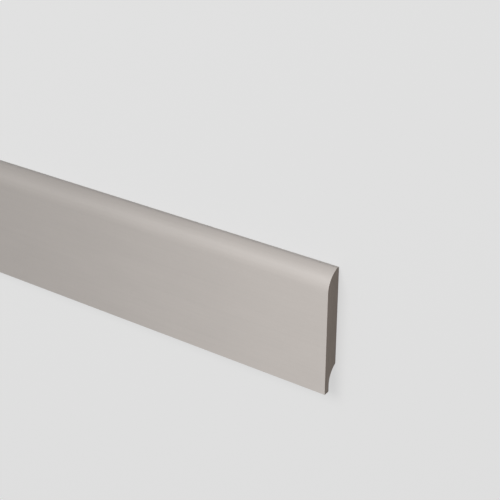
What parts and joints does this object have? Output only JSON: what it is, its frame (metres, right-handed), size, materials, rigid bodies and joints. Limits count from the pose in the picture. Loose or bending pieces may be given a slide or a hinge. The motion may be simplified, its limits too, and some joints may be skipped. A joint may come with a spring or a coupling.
{
  "type": "skirting board",
  "caption": "Skirting board length on its back: flat face, top edge rounded over to a narrow ledge, and a thin foot with a cove along its back.",
  "frame": {"origin": "middle of the surface that the board lies on: half way along its length and its height, in the plane of its back", "axes": "+X along the length, towards the end that the picture shows; +Y towards the edge that is the top one on a wall; +Z out of the face, upwards as it lies"},
  "size_m": [2, 0.1, 0.014],
  "materials": {
    "off_white_polymer": "satin"
  },
  "bodies": {
    "root": {"skirting_board": "off_white_polymer"}
  },
  "joints": []
}
